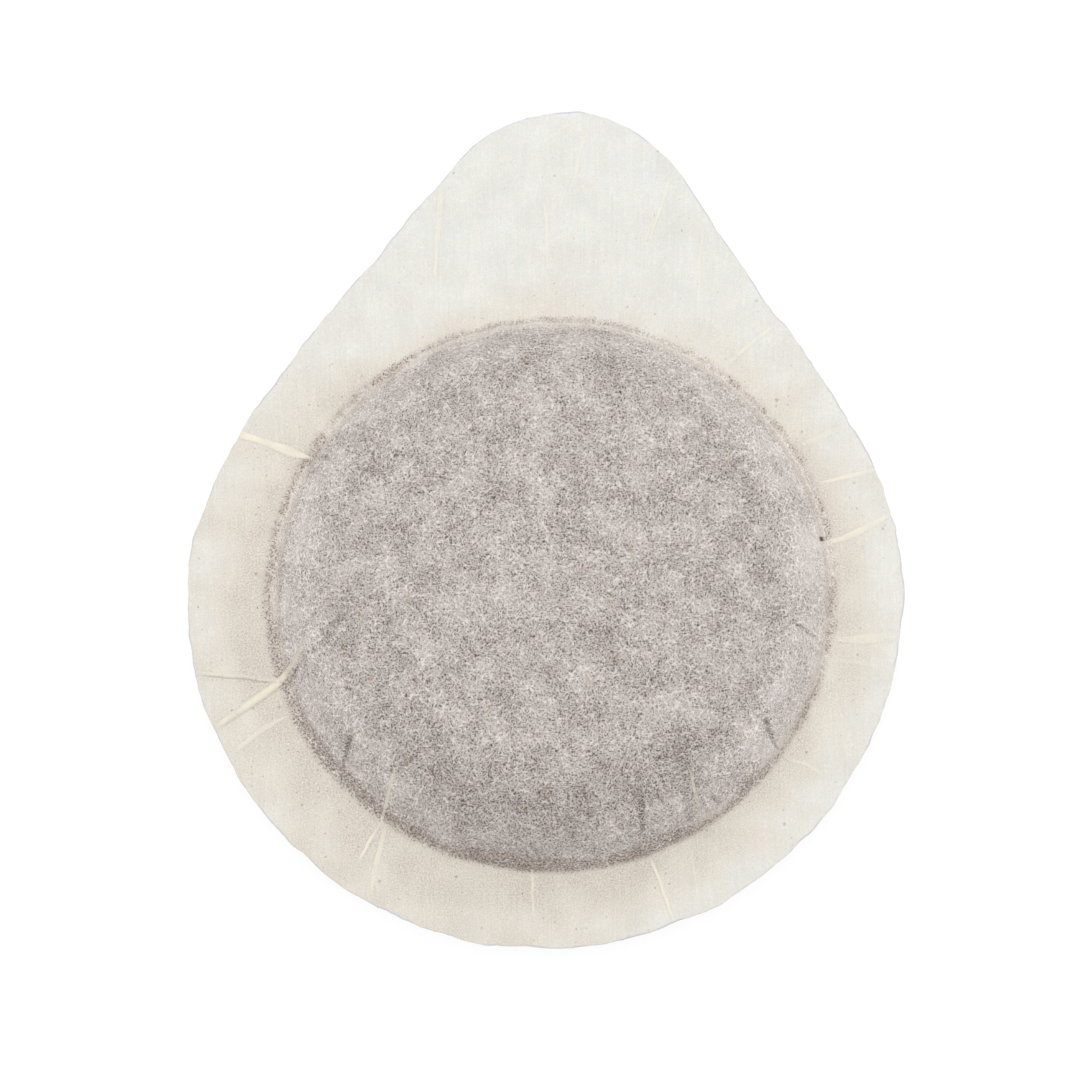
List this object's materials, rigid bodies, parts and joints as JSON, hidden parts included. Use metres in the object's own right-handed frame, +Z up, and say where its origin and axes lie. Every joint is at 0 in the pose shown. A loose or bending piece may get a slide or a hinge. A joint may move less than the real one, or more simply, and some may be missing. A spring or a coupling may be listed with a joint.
{
  "type": "coffee pad",
  "caption": "Round filter-paper coffee pad: a domed pressed coffee cake sealed between two sheets whose flat rim is drawn out into a pull tab.",
  "frame": {"origin": "on the cake's axis, in the plane of the flat underside that the pad rests on", "axes": "+Z up out of the domed side, +Y towards the pull tab, +X to the right when the dome faces the viewer with its tab up"},
  "size_m": [0.0573, 0.0675, 0.0099],
  "materials": {
    "filter_paper": "matt unbleached-white filter paper, felted fibres",
    "ground_coffee": "pressed ground coffee, matt and grainy"
  },
  "bodies": {
    "root": {"drawn_sheet": "filter_paper", "cover_sheet": "filter_paper", "coffee_cake": "ground_coffee"}
  },
  "joints": []
}
